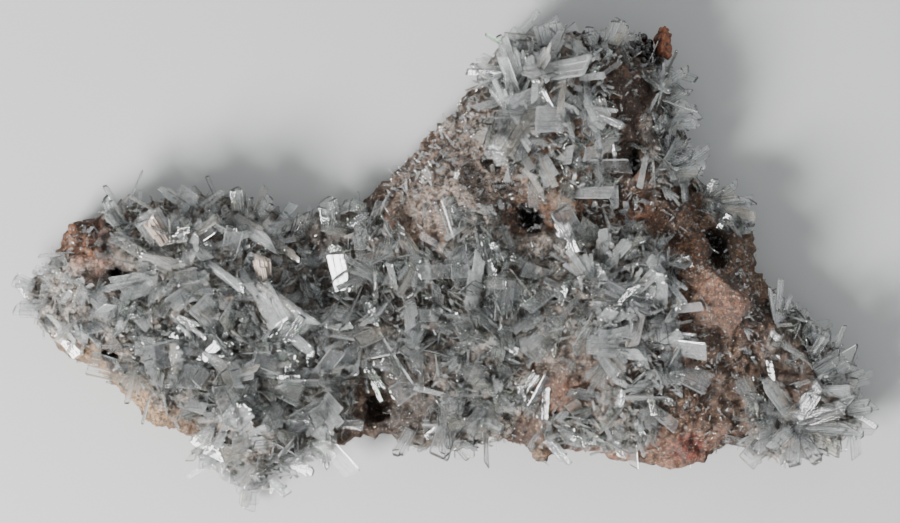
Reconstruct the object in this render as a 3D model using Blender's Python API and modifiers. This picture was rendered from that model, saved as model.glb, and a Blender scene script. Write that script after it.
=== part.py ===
"""Barite specimen: clear bladed crystals grown over a low plate of limonite rock.

Metres, +Z up. The specimen lies flat on z = 0. +X runs along its length, from the frosted
left tip to the crystal cluster at the right tip, and +Y towards the tall upper arm. Its plan
and its forms are written in millimetres and turned into metres as each shape is made.
"""

import math
import random

import bmesh
import bpy
import numpy as np
from mathutils import Matrix, Vector, noise
from mathutils.bvhtree import BVHTree

MM = 0.001
CLEARANCE = 0.5  # gap kept between the rock and what grows on it
PLAN_SHIFT_Y = 1.3  # moves the finished specimen so that its box is centred on the origin

# The rock's outline in plan, clockwise from the left tip.
ROCK_OUTLINE = (
    (-117, -12), (-115, -6), (-109, 1), (-107, 8), (-103, 11.5), (-95, 13.5), (-84, 15),
    (-72, 18), (-60, 18), (-50, 14.5), (-45, 10.5), (-39, 11), (-28, 15), (-25, 13.5),
    (-19, 20), (-12, 26.5), (-5, 34), (3, 43), (10.5, 49.5), (14.5, 52.5), (16.5, 59.5),
    (22, 63), (32, 64), (45, 63.5), (58, 62), (62, 54), (65, 46), (67, 34), (70, 23.5),
    (74, 19), (82, 17), (85.5, 9), (88, 4.5), (88.5, -3.5), (95, -10.5), (102, -15.5),
    (109.5, -24), (114, -31), (117.5, -40), (116, -46), (108, -52), (99, -55.5), (93, -55),
    (84.5, -51), (77, -53.5), (69.5, -57.5), (58, -57), (46, -55), (40.5, -53), (27, -54),
    (18, -49.5), (10, -50), (0, -52.5), (-7, -52), (-15.5, -49), (-24, -50), (-33.5, -54),
    (-41, -56.5), (-47.5, -62), (-53.5, -64), (-59.5, -61), (-64, -56), (-67, -51),
    (-75, -48), (-85, -44), (-87, -40), (-96, -31.5), (-105, -26.5), (-111, -20.5),
)
ROCK_BLOCK = 20.0  # height of the plain block that the rock is shaped from
ROCK_VOXEL = 2.0
ROCK_SOFTENING = 0.5
ROCK_TRIANGLES = 1450
TOP_BASE = 14.0
EDGE_TOP = 9.0  # height of the rock at its rim
EDGE_FALL = 13.0  # the top rounds off over this distance from the rim
ABOVE_TABLE = ((-200.0, -120.0, 0.0), (200.0, 120.0, 90.0))  # what the flat rest keeps of the rock

# Broad swells and dips of the rock's top: x, y, radius, rise.
TOP_FORMS = (
    (-106, -13, 16, 5),
    (-100, 6, 9, 7),
    (-72, 2, 24, 8),
    (-56, -46, 22, 4),
    (-32, 4, 16, -6),
    (-2, 24, 22, 10),
    (8, -6, 26, 10),
    (34, 48, 30, 19),
    (50, -18, 26, 12),
    (77, -11, 15, 9),
    (104, -38, 18, 7),
    (87, -31, 9, -5),
    (-16, -40, 9, -8),
    (66, 11, 5, 5),
    (70, 1, 5, 6),
    (86, 1, 6, 5),
    (62, -46, 12, 3),
)
# Open pits and holes: x, y, half length along x, half length along y, depth.
PITS = (
    (24.5, 12.5, 4.2, 4.0, 12),
    (53, 28, 1.8, 5.0, 11),
    (-91, -4, 2.4, 3.8, 8),
    (-93, -25.5, 2.6, 2.4, 6),
    (76, 3.5, 3.2, 6.5, 11),
    (5, 13, 2.6, 2.2, 5),
    (14.5, 39, 2.6, 2.4, 5),
    (13, 27.5, 3.0, 2.2, 5),
    (-17, -40, 5.5, 4.6, 6),
)
PIT_BALL = 1.1  # radius of the ball that is stretched over a pit's half lengths
PIT_WOBBLE = 0.22  # share by which a pit's wall strays from that ball
PIT_WOBBLE_SIZE = 0.6
PIT_MARGIN = 2.5  # no small blade grows this near a pit
# Angular block of harder rock bedded in the right shoulder: place in plan, how deep its middle
# lies under the ground, its size, its turn about +Z and its tilt, in degrees.
SLAB_PLACE = (77.0, -11.0)
SLAB_DEPTH = 2.6
SLAB_SIZE = (15.0, 11.5, 9.0)
SLAB_TURN = -38.0
SLAB_TILT = 9.0
# Round nodule that stands out of the lower rim.
NODULE_CENTRE = (27.5, -53.0, 9.0)
NODULE_RADIUS = 3.4
LUMP_SIZE = 15.0
LUMP_RISE = 2.8
GRAIN_SIZE = 5.5
GRAIN_RISE = 1.6
UNDERSIDE_GRAIN = 0.35  # share of that grain which is left on the underside
LEDGE_STEP = 4.0  # height of the steps that the top breaks into
LEDGE_SHARE = 0.55  # how far the top keeps to those steps
UNDERSIDE_RISE = 4.5  # how far the hollows of the underside rise
UNDERSIDE_SIZE = 30.0
UNDERCUT = 3.5  # how far the underside lifts at the rim
UNDERCUT_REACH = 9.0
FOOT_TRIM = 0.8  # what the flat rest takes off the lowest lumps

# Ground that each crust of crystals covers, in plan.
MAIN_GROUND = (
    (-120, -11), (-117, -2), (-110, 2), (-96, -1), (-93, 4), (-94, 15), (-89, 18), (-71, 21),
    (-61, 21), (-51, 19), (-46, 14), (-30, 17), (-20, 14), (-17, 6), (-6, 3), (3, 4), (7, 11),
    (14, 12), (20, 5), (33, 8), (42, 7), (55, 9), (62, 0), (63, -22), (64, -33), (58, -46),
    (54, -52), (30, -49), (27, -39), (28, -24), (24, -23), (21, -39), (18, -47), (8, -53),
    (-1, -57), (-12, -54), (-13, -40), (-16, -33), (-24, -31), (-28, -44), (-36, -52),
    (-42, -63), (-55, -68), (-64, -62), (-66, -53), (-64, -46), (-78, -40), (-85, -32),
    (-95, -23), (-117, -17),
)
ARM_GROUND = (
    (15, 62), (22, 66), (31, 66), (47, 67), (58, 65), (62, 56), (66, 52), (70, 42), (69, 33),
    (70, 25), (60, 22), (57, 31), (56, 38), (60, 47), (55, 55), (45, 57), (42, 51), (46, 40),
    (46, 29), (42, 20), (31, 20), (21, 24), (18, 34), (20, 43), (14, 50),
)
FLANK_GROUND = ((73, 20), (86, 18), (86, 13), (84, 10), (80, 9), (76, 12))
TIP_GROUND = (
    (92, -20), (101, -14), (108, -21), (114, -29), (117, -38), (119, -43), (114, -50),
    (104, -57), (96, -58), (88, -54), (87, -44), (90, -33),
)
BED_RISE = 2.5  # thickness of the crust that the blades grow from, over the rock
BED_FLOOR = 4.5  # the crust ends this far above the table
BED_CEILING = 80.0  # top of the block that a crust's bed is cut from
BED_VOXEL = 1.8
BED_GRAIN_SIZE = 5.0
BED_GRAIN_RISE = 0.9
BED_TRIANGLES = 1050

# Blades that stand out: x, y of the root, heading in degrees from +X, tilt above the
# ground in degrees, length, width, thickness, roll in degrees.
MAIN_BLADES = (
    (-50.5, -6.4, -36, 14, 17.5, 5.6, 1.8, 25),
    (-56.7, 10.4, -30, 18, 13.0, 5.0, 1.6, 15),
    (-46.1, 4.2, -34, 16, 9.0, 2.4, 1.0, 30),
    (-46.1, -16.8, -42, 16, 14.5, 3.9, 1.5, 20),
    (-64.5, -1.7, -36, 18, 12.0, 3.2, 1.3, 30),
    (-56.1, -2.2, -51, 22, 9.5, 2.8, 1.2, 10),
    (-18.6, -12.9, 90, 22, 12.5, 2.2, 1.2, 70),
    (-21.7, 4.5, 95, 30, 7.0, 4.5, 1.8, 0),
    (7.7, -10.6, 82, 32, 16.0, 4.2, 1.3, 20),
    (13.3, -16.2, 88, 28, 17.5, 4.5, 1.3, -20),
    (17.5, 0.0, -105, 26, 11.0, 2.6, 1.1, 40),
    (45.2, 0.4, 92, 34, 10.0, 4.0, 1.2, 10),
    (45.5, -13.0, 45, 24, 14.0, 3.4, 1.3, 15),
    (54.0, -12.6, 56, 24, 10.5, 3.0, 1.2, 20),
    (53.1, -8.0, -80, 34, 8.5, 8.0, 1.6, 0),
    (57.5, -15.0, -85, 34, 8.5, 8.0, 1.6, 0),
    (-49.7, -4.6, 93, 48, 7.5, 5.0, 3.4, 0),
    (-76.3, 6.2, 119, 42, 8.6, 4.6, 2.8, 0),
    (-60.0, -44.0, 20, 30, 8.5, 6.0, 1.4, 0),
    (-104, -20.0, 8, 10, 13.0, 2.4, 1.2, 60),
    (-113, -13.0, 175, 8, 6.0, 5.0, 1.6, 10),
    (-114, -7.0, 160, 10, 5.5, 5.0, 1.6, -10),
    (-55, -63.0, -95, 8, 6.0, 6.0, 1.6, 0),
    (-49, -60.0, -40, 10, 7.0, 3.6, 1.3, 10),
    (-44, -55.0, -25, 14, 8.0, 3.4, 1.2, 20),
    (-64, -55.0, -160, 12, 4.5, 4.5, 1.5, 0),
    (-35, -49.0, -70, 12, 8.0, 3.0, 1.2, 30),
    (-58, 15.0, 95, 14, 6.0, 4.0, 1.3, 0),
    (-72, 14.0, 75, 14, 6.0, 4.5, 1.4, 10),
    (-90, 12.0, 115, 18, 7.0, 3.0, 1.2, 20),
    (-52, 12.5, 60, 12, 7.0, 4.0, 1.3, 0),
    (-41, 8.0, 70, 18, 7.0, 4.5, 1.4, 15),
    (-31, 10.0, 100, 16, 8.0, 6.0, 1.6, 0),
    (-26, 10.0, 40, 20, 6.5, 2.6, 1.1, 30),
    (-9, -47.0, -120, 18, 8.0, 3.8, 1.3, 0),
    (0, -46.5, -85, 20, 7.0, 4.0, 1.3, 10),
    (10, -42.0, -25, 26, 9.0, 3.6, 1.3, 0),
)
ARM_BLADES = (
    (13.9, 51.5, -19, 14, 18.5, 3.0, 1.3, 60),
    (18.5, 58.5, -10, 10, 15.0, 11.0, 2.0, 6),
    (19.5, 31.4, 56, 16, 14.5, 10.5, 2.0, 8),
    (40.5, 40.0, -84, 22, 14.0, 3.4, 1.3, 65),
    (30.0, 60.0, 100, 12, 5.5, 8.0, 1.6, 0),
    (22.0, 59.5, 140, 12, 5.0, 5.0, 1.5, 0),
    (48.0, 60.0, 70, 14, 6.5, 6.0, 1.5, 0),
    (41.0, 60.0, 96, 16, 5.0, 4.0, 1.3, 0),
    (54.0, 58.5, 110, 16, 5.0, 4.0, 1.3, 0),
    (61.0, 48.5, 38, 16, 8.0, 3.0, 1.1, 10),
    (61.5, 44.5, 30, 20, 7.5, 2.6, 1.0, 40),
    (62.0, 41.0, 16, 14, 8.0, 3.4, 1.1, 15),
    (61.8, 37.5, 4, 14, 8.5, 3.4, 1.1, 5),
    (62.0, 32.5, -14, 16, 6.0, 3.8, 1.2, 0),
    (61.5, 28.5, 18, 14, 8.5, 3.8, 1.2, 10),
    (63.1, 25.0, 2, 12, 7.5, 4.2, 1.2, -10),
)
FLANK_BLADES = (
    (77, 17.0, 30, 12, 7.0, 3.4, 1.2, 0),
    (77, 15.0, 8, 14, 10.5, 4.0, 1.2, 10),
    (78, 13.5, -8, 12, 9.0, 4.2, 1.3, -5),
    (77, 14.0, -48, 18, 8.0, 2.6, 1.2, 60),
    (80, 12.0, -20, 24, 6.0, 3.6, 1.2, 20),
    (75, 17.5, 70, 20, 5.0, 3.4, 1.1, 0),
)
TIP_BLADES = (
    (100, -44, 20, 22, 15.0, 5.4, 1.5, 10),
    (100, -45, -2, 18, 16.0, 4.6, 1.3, 20),
    (100, -46, -28, 18, 13.0, 5.0, 1.4, 0),
    (99, -46, -62, 18, 11.0, 5.4, 1.4, 10),
    (98, -46, -98, 16, 10.5, 4.4, 1.3, 0),
    (97, -45, -135, 18, 9.0, 4.6, 1.3, 10),
    (97, -42, 128, 24, 13.0, 4.4, 1.3, 20),
    (100, -42, 62, 26, 12.0, 5.0, 1.4, 0),
    (104, -32, 30, 18, 11.0, 7.0, 1.6, 0),
    (102, -27, 60, 24, 9.0, 3.8, 1.3, 30),
    (112.5, -41, 8, 6, 7.0, 4.4, 1.3, 0),
    (110.5, -46, -20, 8, 6.0, 4.0, 1.2, 10),
)

# The smaller blades between them, spread evenly with a fixed seed: spacing on the ground,
# then the least and the greatest length, width, thickness and tilt.
MAIN_SPREAD = (10.6, (8.5, 13.0), (3.4, 6.2), (1.3, 1.9), (18, 55))
ARM_SPREAD = (10.4, (7.0, 10.5), (3.2, 5.4), (1.2, 1.7), (18, 55))
FLANK_SPREAD = (7.5, (4.5, 6.5), (2.4, 3.6), (1.0, 1.3), (25, 60))
TIP_SPREAD = (11.5, (6.0, 9.0), (3.0, 4.6), (1.2, 1.5), (20, 55))
SPREAD_SEED = 11
SPREAD_TRIES = 6000
SPREAD_ROLL = 0.9  # a small blade's greatest roll, in radians
ROOM_SHARE = 0.55  # share of the spacing kept from the blades that stand out
ROOT_DEPTH = 1.0  # a blade starts this far inside its crust
TIP_SHARE = 0.22  # share of a blade's length that its chisel end takes
TIP_WIDTH = 0.42
TIP_THICKNESS = 0.55
LOWEST_TIP = 2.0  # the small blades keep above this height
HEADING_TRIES = 6  # headings tried for a small blade until its tip stays over its own ground
STEEP_GROUND = 0.25  # no small blade grows where the ground's normal points lower than this

CRUSTS = (
    ("main_druse", MAIN_GROUND, MAIN_BLADES, MAIN_SPREAD),
    ("upper_arm_druse", ARM_GROUND, ARM_BLADES, ARM_SPREAD),
    ("right_flank_fan", FLANK_GROUND, FLANK_BLADES, FLANK_SPREAD),
    ("right_tip_cluster", TIP_GROUND, TIP_BLADES, TIP_SPREAD),
)

# The scrap of rusty rock perched on the upper arm's corner.
CHIP_CENTRE = (61.6, 61.0, 14.0)
CHIP_HALF = (2.7, 5.0, 4.8)
CHIP_WOBBLE = 0.45
CHIP_WOBBLE_SIZE = 0.7
CHIP_NOISE_AT = (5.0, 2.0, 7.0)  # where in the noise the chip's form is read
RAY_HEIGHT = 1.0  # height in metres that the ground is looked for from

ROCK_COLOUR = (0.30, 0.19, 0.12, 1.0)
RUST_COLOUR = (0.42, 0.14, 0.05, 1.0)
CRYSTAL_COLOUR = (0.74, 0.79, 0.78, 1.0)
ROCK_ROUGHNESS = 0.85
CRYSTAL_ROUGHNESS = 0.12
CRYSTAL_TRANSMISSION = 0.9
BARITE_IOR = 1.64


def clear_scene():
    for item in list(bpy.data.objects):
        bpy.data.objects.remove(item, do_unlink=True)


def new_collection(name):
    made = bpy.data.collections.new(name)
    bpy.context.scene.collection.children.link(made)
    return made


def plain_material(name, colour, roughness, transmission=0.0, ior=1.5):
    made = bpy.data.materials.new(name)
    made.use_nodes = True
    shader = made.node_tree.nodes["Principled BSDF"]
    shader.inputs["Base Color"].default_value = colour
    shader.inputs["Roughness"].default_value = roughness
    shader.inputs["Metallic"].default_value = 0.0
    shader.inputs["Transmission Weight"].default_value = transmission
    shader.inputs["IOR"].default_value = ior
    return made


def add_object(name, mesh, home):
    made = bpy.data.objects.new(name, mesh)
    home.objects.link(made)
    return made


def bake(item):
    """Turns an object's modifiers into its own mesh."""
    graph = bpy.context.evaluated_depsgraph_get()
    mesh = bpy.data.meshes.new_from_object(item.evaluated_get(graph))
    item.modifiers.clear()
    item.data = mesh


def outline_block(name, outline, low, high, home):
    """A closed block over a plan outline, between two heights in millimetres."""
    curve = bpy.data.curves.new(name, "CURVE")
    curve.dimensions = "2D"
    curve.fill_mode = "BOTH"
    curve.extrude = (high - low) / 2 * MM
    spline = curve.splines.new("POLY")
    spline.points.add(len(outline) - 1)
    for point, (x, y) in zip(spline.points, outline):
        point.co = (x * MM, y * MM, 0.0, 1.0)
    spline.use_cyclic_u = True
    flat = add_object(name, curve, home)
    flat.location.z = (low + high) / 2 * MM
    graph = bpy.context.evaluated_depsgraph_get()
    graph.update()
    mesh = bpy.data.meshes.new_from_object(flat.evaluated_get(graph))
    shape = bmesh.new()
    shape.from_mesh(mesh)
    bmesh.ops.remove_doubles(shape, verts=shape.verts, dist=0.00001)
    bmesh.ops.transform(shape, matrix=Matrix(flat.matrix_world), verts=shape.verts)
    bmesh.ops.recalc_face_normals(shape, faces=shape.faces)
    shape.to_mesh(mesh)
    shape.free()
    bpy.data.objects.remove(flat, do_unlink=True)
    return add_object(name, mesh, home)


def remesh(item, voxel):
    step = item.modifiers.new("Even mesh", "REMESH")
    step.mode = "VOXEL"
    step.voxel_size = voxel * MM
    bake(item)


def soften(item, factor):
    """Takes the folds out of a roughened surface, so that its offset doesn't cross it."""
    step = item.modifiers.new("Soften", "SMOOTH")
    step.factor = factor
    step.iterations = 1
    bake(item)


def decimate(item, triangles):
    now = sum(len(face.vertices) - 2 for face in item.data.polygons)
    step = item.modifiers.new("Fewer faces", "DECIMATE")
    step.ratio = min(1.0, triangles / now)
    step.use_collapse_triangulate = True
    bake(item)


def combine(item, other, operation, own_overlaps=False):
    step = item.modifiers.new(operation.title(), "BOOLEAN")
    step.operation = operation
    step.solver = "EXACT"
    step.use_self = own_overlaps
    step.object = other
    bake(item)


def swell(item, growth, noise_size=1.0, noise_rise=0.0):
    """Moves a surface out along its normals, evenly or by a cloudy amount, in millimetres."""
    shape = bmesh.new()
    shape.from_mesh(item.data)
    shape.normal_update()
    moves = []
    for vert in shape.verts:
        rough = noise_rise * noise.fractal(vert.co / (noise_size * MM), 1.0, 2.0, 2)
        moves.append(vert.normal * (growth + rough) * MM)
    for vert, move in zip(shape.verts, moves):
        vert.co += move
    shape.to_mesh(item.data)
    shape.free()


def swollen_copy(item, name, growth, home):
    copy = add_object(name, item.data.copy(), home)
    swell(copy, growth)
    return copy


def crust_top(rock, home):
    """The outer surface of the bed that every crust's blades grow from."""
    top = swollen_copy(rock, "bed_top", BED_RISE, home)
    remesh(top, BED_VOXEL)
    swell(top, 0.0, BED_GRAIN_SIZE, BED_GRAIN_RISE)
    decimate(top, BED_TRIANGLES)
    return top


def keep_largest(item):
    """Drops the loose scraps that a cut leaves, and any pocket sealed inside."""
    shape = bmesh.new()
    shape.from_mesh(item.data)
    waiting = set(shape.verts)
    bodies = []
    while waiting:
        body = set()
        edge_of_search = [waiting.pop()]
        while edge_of_search:
            vert = edge_of_search.pop()
            body.add(vert)
            for edge in vert.link_edges:
                other = edge.other_vert(vert)
                if other in waiting:
                    waiting.remove(other)
                    edge_of_search.append(other)
        bodies.append(body)
    bodies.sort(key=len)
    loose = [vert for body in bodies[:-1] for vert in body]
    bmesh.ops.delete(shape, geom=loose, context="VERTS")
    bmesh.ops.triangulate(shape, faces=shape.faces)
    shape.to_mesh(item.data)
    shape.free()


def rim_distance(plan):
    """Distance in millimetres from each plan point to the rock's outline."""
    corners = np.array(ROCK_OUTLINE, float)
    nearest = np.full(len(plan), np.inf)
    for start, end in zip(corners, np.roll(corners, -1, axis=0)):
        run = end - start
        share = np.clip(((plan - start) @ run) / (run @ run), 0.0, 1.0)
        gap = np.linalg.norm(plan - start - share[:, None] * run, axis=1)
        nearest = np.minimum(nearest, gap)
    return nearest


def noise_at(points, size, octaves):
    """Cloudy values of about -1 to 1 over features of the given size."""
    return np.array(
        [noise.fractal(Vector(point) / size, 1.0, 2.0, octaves) for point in points]
    )


def stepped(height, phase):
    """Heights drawn towards level ledges, with the steps between them kept steep."""
    level = height / LEDGE_STEP + phase
    whole = np.floor(level)
    part = level - whole
    sharp = whole + part**2 * part**2 * (5 - 4 * part)
    return height + LEDGE_SHARE * ((sharp - phase) * LEDGE_STEP - height)


def rock_top(plan, rim):
    height = np.full(len(plan), TOP_BASE)
    for x, y, radius, rise in TOP_FORMS:
        away = np.hypot(plan[:, 0] - x, plan[:, 1] - y)
        height += rise * np.exp(-((away / radius) ** 2))
    inward = np.clip(rim / EDGE_FALL, 0.0, 1.0)
    height = EDGE_TOP + (height - EDGE_TOP) * (1 - (1 - inward) ** 2)
    flat = np.column_stack([plan, np.zeros(len(plan))])
    height += LUMP_RISE * noise_at(flat, LUMP_SIZE, 3)
    return stepped(height, noise_at(flat, 2 * LUMP_SIZE, 1))


def rock_underside(plan, rim):
    flat = np.column_stack([plan, np.zeros(len(plan))])
    hollows = np.clip(noise_at(flat, UNDERSIDE_SIZE, 3), 0.0, 1.0)
    inward = np.clip(rim / UNDERCUT_REACH, 0.0, 1.0)
    return UNDERSIDE_RISE * hollows + UNDERCUT * (1 - inward) ** 2 - FOOT_TRIM


def shape_rock(rock):
    """Stretches the plain block between its underside and its top, then roughens it."""
    count = len(rock.data.vertices)
    places = np.empty(count * 3)
    rock.data.vertices.foreach_get("co", places)
    places = places.reshape(-1, 3) / MM
    rim = rim_distance(places[:, :2])
    share = np.clip(places[:, 2] / ROCK_BLOCK, 0.0, 1.0)
    low = rock_underside(places[:, :2], rim)
    high = rock_top(places[:, :2], rim)
    places[:, 2] = low + share * (high - low)
    rock.data.vertices.foreach_set("co", (places * MM).ravel())
    rock.data.update()
    normals = np.empty(count * 3)
    rock.data.vertices.foreach_get("normal", normals)
    normals = normals.reshape(-1, 3)
    rough = GRAIN_RISE * noise_at(places, GRAIN_SIZE, 2)
    rough *= np.clip(UNDERSIDE_GRAIN + share, 0.0, 1.0)
    places += normals * rough[:, None]
    rock.data.vertices.foreach_set("co", (places * MM).ravel())
    rock.data.update()


def shape_object(shape, name, home):
    """An object from a shape that is finished with."""
    mesh = bpy.data.meshes.new(name)
    shape.to_mesh(mesh)
    shape.free()
    return add_object(name, mesh, home)


def add_slab(rock, cutters):
    x, y = SLAB_PLACE
    ground = ground_at(surface_of(rock), x, y)[0].z / MM
    middle = Matrix.Translation(Vector((x, y, ground - SLAB_DEPTH)) * MM)
    turn = Matrix.Rotation(math.radians(SLAB_TURN), 4, "Z")
    tilt = Matrix.Rotation(math.radians(SLAB_TILT), 4, "X")
    size = Matrix.Diagonal((*(Vector(SLAB_SIZE) * MM), 1.0))
    shape = bmesh.new()
    bmesh.ops.create_cube(shape, size=1.0, matrix=middle @ turn @ tilt @ size)
    combine(rock, shape_object(shape, "slab", cutters), "UNION")


def add_nodule(rock, cutters):
    shape = bmesh.new()
    middle = Matrix.Translation(Vector(NODULE_CENTRE) * MM)
    bmesh.ops.create_icosphere(shape, subdivisions=2, radius=NODULE_RADIUS * MM, matrix=middle)
    combine(rock, shape_object(shape, "nodule", cutters), "UNION")


def stretch_ball(shape, middle, halves, wobble, wobble_size, noise_at_place):
    """Stretches a small ball to half lengths in millimetres, and makes it uneven."""
    for vert in shape.verts:
        uneven = noise.noise(vert.co / wobble_size + Vector(noise_at_place))
        grown = Vector(halves) * (1 + wobble * uneven)
        vert.co = (Vector(middle) + grown * vert.co) * MM


def cut_pits(rock, cutters):
    tree = surface_of(rock)
    for number, (x, y, half_x, half_y, depth) in enumerate(PITS):
        ground = ground_at(tree, x, y)[0].z / MM
        shape = bmesh.new()
        bmesh.ops.create_icosphere(shape, subdivisions=1, radius=PIT_BALL)
        stretch_ball(
            shape, (x, y, ground), (half_x, half_y, depth), PIT_WOBBLE, PIT_WOBBLE_SIZE, (number, 0, 0)
        )
        combine(rock, shape_object(shape, f"pit_{number}", cutters), "DIFFERENCE")


def box(name, low, high, home):
    """A plain block between two corners in millimetres."""
    shape = bmesh.new()
    size = Vector(high) - Vector(low)
    middle = (Vector(high) + Vector(low)) / 2
    bmesh.ops.create_cube(
        shape,
        size=1.0,
        matrix=Matrix.Translation(middle * MM) @ Matrix.Diagonal((*(size * MM), 1.0)),
    )
    return shape_object(shape, name, home)


def surface_of(item):
    shape = bmesh.new()
    shape.from_mesh(item.data)
    tree = BVHTree.FromBMesh(shape)
    shape.free()
    return tree


def ground_at(tree, x, y):
    """The surface's point and normal under a plan place, or None where there is no rock."""
    place, normal, _, _ = tree.ray_cast(Vector((x * MM, y * MM, RAY_HEIGHT)), Vector((0, 0, -1)))
    return None if place is None else (place, normal)


def inside(x, y, outline):
    crossed = False
    for (x1, y1), (x2, y2) in zip(outline, outline[1:] + outline[:1]):
        if (y1 > y) != (y2 > y) and x < x1 + (y - y1) * (x2 - x1) / (y2 - y1):
            crossed = not crossed
    return crossed


def near_pit(x, y):
    return any(
        math.hypot((x - px) / (half_x + PIT_MARGIN), (y - py) / (half_y + PIT_MARGIN)) < 1
        for px, py, half_x, half_y, _ in PITS
    )


def add_blade(shape, root, aim, roll, length, width, thickness):
    """One tabular crystal with a bevelled chisel end, from its root along its aim."""
    verts = bmesh.ops.create_cube(shape, size=1.0)["verts"]
    for vert in verts:
        vert.co.z = (vert.co.z + 0.5) * (1 - TIP_SHARE)
    faces = {face for vert in verts for face in vert.link_faces}
    end = max(faces, key=lambda face: face.calc_center_median().z)
    grown = bmesh.ops.extrude_face_region(shape, geom=[end])["geom"]
    bmesh.ops.delete(shape, geom=[end], context="FACES_ONLY")
    tip = [piece for piece in grown if isinstance(piece, bmesh.types.BMVert)]
    for vert in tip:
        vert.co.x *= TIP_WIDTH
        vert.co.y *= TIP_THICKNESS
        vert.co.z = 1.0
    turn = aim.to_track_quat("Z", "Y").to_matrix().to_4x4() @ Matrix.Rotation(roll, 4, "Z")
    size = Matrix.Diagonal((width * MM, thickness * MM, length * MM, 1.0))
    bmesh.ops.transform(shape, matrix=Matrix.Translation(root) @ turn @ size, verts=verts + tip)


def heading_and_tilt(heading, tilt):
    """The direction of a blade from its plan heading and its rise above the table."""
    flat = math.cos(tilt)
    return Vector((math.cos(heading) * flat, math.sin(heading) * flat, math.sin(tilt)))


def named_blades(shape, tree, blades):
    for x, y, heading, tilt, length, width, thickness, roll in blades:
        place, normal = ground_at(tree, x, y)
        root = place + normal * (BED_RISE - ROOT_DEPTH) * MM
        aim = heading_and_tilt(math.radians(heading), math.radians(tilt))
        add_blade(shape, root, aim, math.radians(roll), length, width, thickness)


def spread_roots(ground, spacing, rng, taken):
    """Random plan places on the ground, no two nearer than the spacing."""
    xs = [x for x, _ in ground]
    ys = [y for _, y in ground]
    roots = []
    for _ in range(SPREAD_TRIES):
        x = rng.uniform(min(xs), max(xs))
        y = rng.uniform(min(ys), max(ys))
        if not inside(x, y, ground) or near_pit(x, y):
            continue
        clear_of_roots = all(math.hypot(x - a, y - b) > spacing for a, b in roots)
        room = spacing * ROOM_SHARE
        if clear_of_roots and all(math.hypot(x - a, y - b) > room for a, b in taken):
            roots.append((x, y))
    return roots


def spread_blades(shape, tree, ground, spread, taken):
    spacing, lengths, widths, thicknesses, tilts = spread
    rng = random.Random(SPREAD_SEED)
    for x, y in spread_roots(ground, spacing, rng, taken):
        rise = math.radians(rng.uniform(*tilts))
        length = rng.uniform(*lengths)
        width = rng.uniform(*widths)
        thickness = rng.uniform(*thicknesses)
        roll = rng.uniform(-SPREAD_ROLL, SPREAD_ROLL)
        headings = [rng.uniform(0, math.tau) for _ in range(HEADING_TRIES)]
        found = ground_at(tree, x, y)
        if found is None or found[1].z < STEEP_GROUND:
            continue
        place, normal = found
        root = place + normal * (BED_RISE - ROOT_DEPTH) * MM
        for heading in headings:
            across = heading_and_tilt(heading, 0.0)
            across = (across - normal * across.dot(normal)).normalized()
            aim = across * math.cos(rise) + normal * math.sin(rise)
            tip = (root + aim * length * MM) / MM
            if tip.z > LOWEST_TIP and inside(tip.x, tip.y, ground):
                add_blade(shape, root, aim, roll, length, width, thickness)
                break


def grow_crust(plan, tree, bed_top, rock_clear, home, cutters):
    """One growth of crystals: a thin bed over the rock and the blades that rise from it."""
    name, ground, blades, spread = plan
    bed = outline_block(name, ground, BED_FLOOR, BED_CEILING, home)
    combine(bed, bed_top, "INTERSECT")
    shape = bmesh.new()
    named_blades(shape, tree, blades)
    taken = [(blade[0], blade[1]) for blade in blades]
    spread_blades(shape, tree, ground, spread, taken)
    loose = shape_object(shape, name + "_blades", cutters)
    combine(bed, loose, "UNION", own_overlaps=True)
    combine(bed, rock_clear, "DIFFERENCE")
    keep_largest(bed)
    return bed


def rust_chip(home):
    shape = bmesh.new()
    bmesh.ops.create_icosphere(shape, subdivisions=2, radius=1.0)
    stretch_ball(shape, CHIP_CENTRE, CHIP_HALF, CHIP_WOBBLE, CHIP_WOBBLE_SIZE, CHIP_NOISE_AT)
    return shape_object(shape, "rust_chip", home)


def limonite_rock(home, cutters):
    """The rock before its pits and its flat rest are cut."""
    rock = outline_block("matrix", ROCK_OUTLINE, 0.0, ROCK_BLOCK, home)
    remesh(rock, ROCK_VOXEL)
    shape_rock(rock)
    soften(rock, ROCK_SOFTENING)
    decimate(rock, ROCK_TRIANGLES)
    add_slab(rock, cutters)
    add_nodule(rock, cutters)
    return rock


def seat_chip(chip, arm, rock_clear, cutters):
    """Beds the chip in the arm's crust, clear of the rock and of the crystals."""
    chip_clear = swollen_copy(chip, "chip_clear", CLEARANCE, cutters)
    combine(arm, chip_clear, "DIFFERENCE")
    keep_largest(arm)
    combine(chip, rock_clear, "DIFFERENCE")
    keep_largest(chip)


def build():
    clear_scene()
    home = new_collection("barite specimen")
    cutters = new_collection("cutters")

    rock = limonite_rock(home, cutters)
    rock_clear = swollen_copy(rock, "rock_clear", CLEARANCE, cutters)
    bed_top = crust_top(rock, cutters)
    cut_pits(rock, cutters)
    combine(rock, box("above_table", *ABOVE_TABLE, cutters), "INTERSECT")
    keep_largest(rock)
    rock.data.materials.append(plain_material("limonite", ROCK_COLOUR, ROCK_ROUGHNESS))

    tree = surface_of(rock)
    crusts = [grow_crust(plan, tree, bed_top, rock_clear, home, cutters) for plan in CRUSTS]
    chip = rust_chip(home)
    seat_chip(chip, home.objects["upper_arm_druse"], rock_clear, cutters)
    chip.data.materials.append(plain_material("rust", RUST_COLOUR, ROCK_ROUGHNESS))
    for item in crusts:
        clear_barite = plain_material(
            item.name + "_barite",
            CRYSTAL_COLOUR,
            CRYSTAL_ROUGHNESS,
            CRYSTAL_TRANSMISSION,
            BARITE_IOR,
        )
        item.data.materials.append(clear_barite)

    for item in cutters.objects:
        item.hide_render = True
        item.display_type = "WIRE"
    for item in home.objects:
        item.location.y = PLAN_SHIFT_Y * MM


build()
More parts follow.
